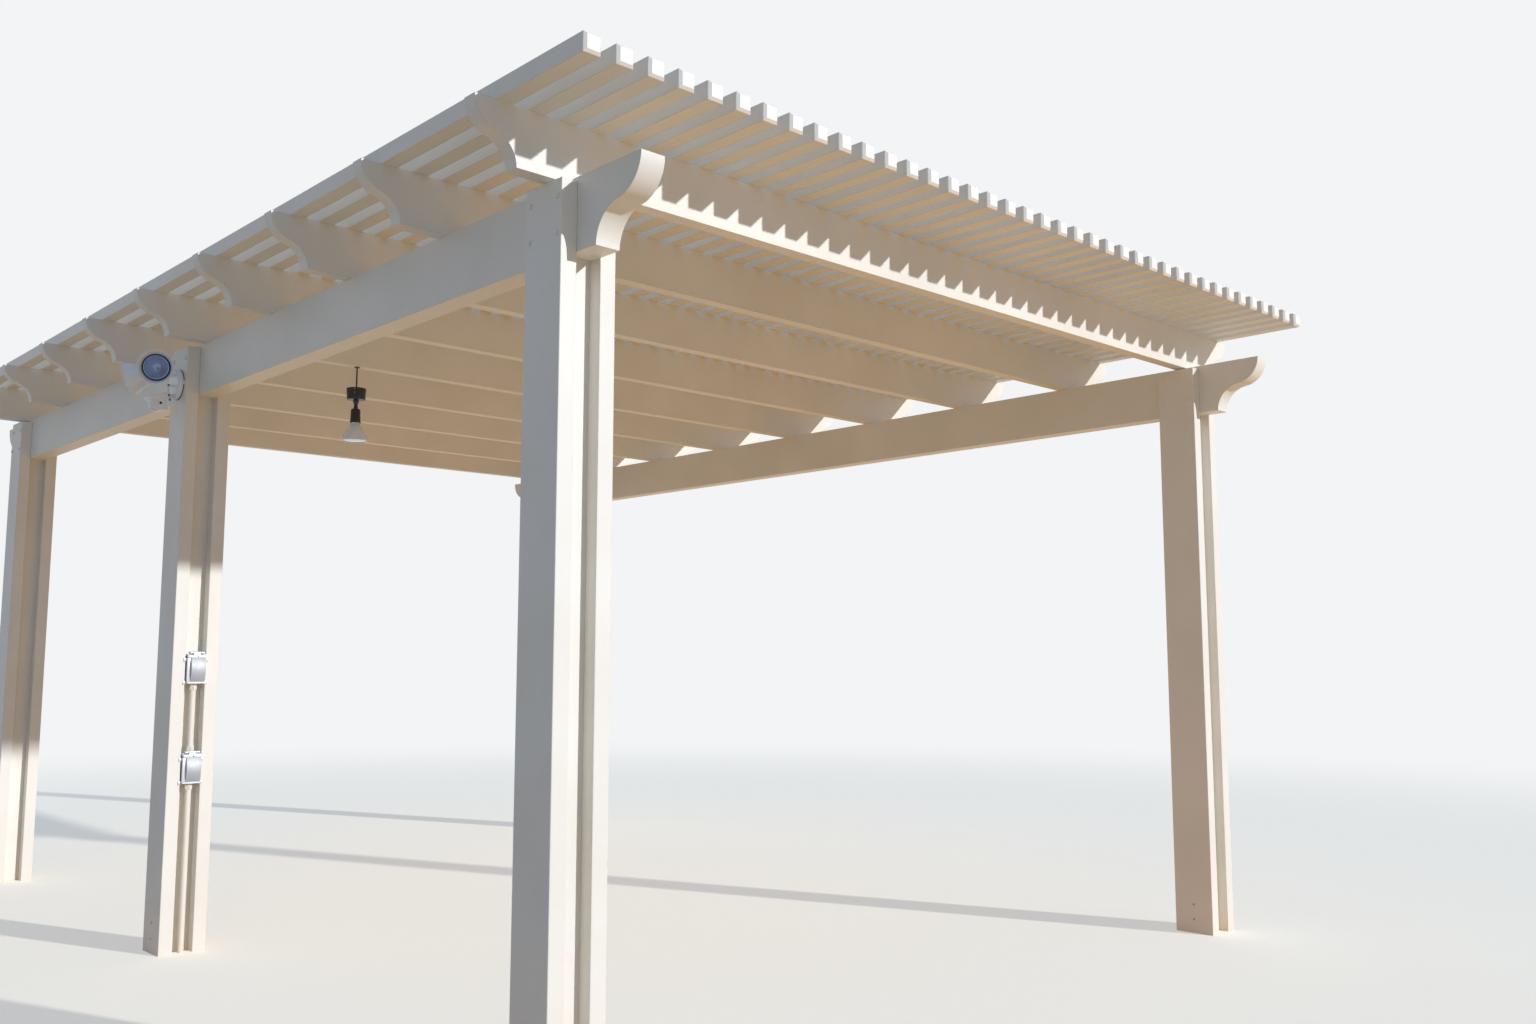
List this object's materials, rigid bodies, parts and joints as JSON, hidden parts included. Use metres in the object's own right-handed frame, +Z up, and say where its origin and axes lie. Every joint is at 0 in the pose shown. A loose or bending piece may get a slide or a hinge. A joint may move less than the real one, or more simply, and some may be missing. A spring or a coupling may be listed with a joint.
{
  "type": "pergola",
  "caption": "Free-standing garden pergola in ivory aluminium: plated posts, scroll-ended headers and rafters, square lattice roof, twin flood light, outlets and a hung lamp",
  "frame": {"origin": "on the ground, at the middle of the footprint", "axes": "+X along the headers, +Y along the rafters from the front row of posts to the rear row, +Z up"},
  "size_m": [5.6896, 3.8862, 2.5908],
  "materials": {
    "ivory_aluminium": "baked ivory paint with a faint embossed grain",
    "ivory_cap": "smooth moulded cap",
    "white_fixture": "pale grey-white satin paint",
    "lamp_glass": "clear glass over a silvered reflector",
    "grey_box": "silver-grey cast metal",
    "grey_conduit": "painted to match the posts",
    "black_fitting": "black satin paint"
  },
  "bodies": {
    "frame": {"post_front_right_outer_plate": "ivory_aluminium", "post_front_right_inner_plate": "ivory_aluminium", "post_front_right_core": "ivory_aluminium", "post_front_middle_outer_plate": "ivory_aluminium", "post_front_middle_inner_plate": "ivory_aluminium", "post_front_middle_core": "ivory_aluminium", "post_front_left_outer_plate": "ivory_aluminium", "post_front_left_inner_plate": "ivory_aluminium", "post_front_left_core": "ivory_aluminium", "post_rear_right_outer_plate": "ivory_aluminium", "post_rear_right_inner_plate": "ivory_aluminium", "post_rear_right_core": "ivory_aluminium", "post_rear_left_outer_plate": "ivory_aluminium", "post_rear_left_inner_plate": "ivory_aluminium", "post_rear_left_core": "ivory_aluminium", "header_front": "ivory_aluminium", "header_rear": "ivory_aluminium", "rafter_1": "ivory_aluminium", "rafter_2": "ivory_aluminium", "rafter_3": "ivory_aluminium", "rafter_4": "ivory_aluminium", "rafter_5": "ivory_aluminium", "rafter_6": "ivory_aluminium", "rafter_7": "ivory_aluminium", "rafter_8": "ivory_aluminium", "rafter_9": "ivory_aluminium", "lattice_tubes_front": "ivory_aluminium", "lattice_tubes_middle": "ivory_aluminium", "lattice_tubes_rear": "ivory_aluminium", "lattice_caps_right": "ivory_cap", "lattice_caps_left": "ivory_cap", "flood_base": "white_fixture", "pendant_lamp": "lamp_glass", "outlet_box_upper": "grey_box", "outlet_box_lower": "grey_box", "outlet_conduit": "grey_conduit", "pendant_rod": "black_fitting", "pendant_drum": "black_fitting", "pendant_holder": "black_fitting"},
    "head_right": {"flood_head_right": "white_fixture", "flood_lamp_right": "lamp_glass"},
    "head_left": {"flood_head_left": "white_fixture", "flood_lamp_left": "lamp_glass"},
    "sensor": {"motion_sensor": "white_fixture"},
    "lid_upper": {"outlet_lid_upper": "grey_box"},
    "lid_lower": {"outlet_lid_lower": "grey_box"}
  },
  "joints": [
    {"name": "head_right_tilt", "type": "hinge", "parent": "frame", "child": "head_right", "pos_m": [-0.10735, -1.8015, 2.2622], "axis": [-0.454, -0.891, 0], "range_deg": [-30, 40]},
    {"name": "head_left_tilt", "type": "hinge", "parent": "frame", "child": "head_left", "pos_m": [-0.15935, -1.8015, 2.2622], "axis": [-0.7314, 0.682, 0], "range_deg": [-15, 45]},
    {"name": "sensor_tilt", "type": "hinge", "parent": "frame", "child": "sensor", "pos_m": [-0.13335, -1.7525, 2.1682], "axis": [-1, 0, 0], "range_deg": [-20, 20]},
    {"name": "lid_upper_lift", "type": "hinge", "parent": "frame", "child": "lid_upper", "pos_m": [-0.03965, -1.6256, 1.1465], "axis": [0, -1, 0], "range_deg": [0, 110]},
    {"name": "lid_lower_lift", "type": "hinge", "parent": "frame", "child": "lid_lower", "pos_m": [-0.03965, -1.6256, 0.7615], "axis": [0, -1, 0], "range_deg": [0, 110]}
  ]
}
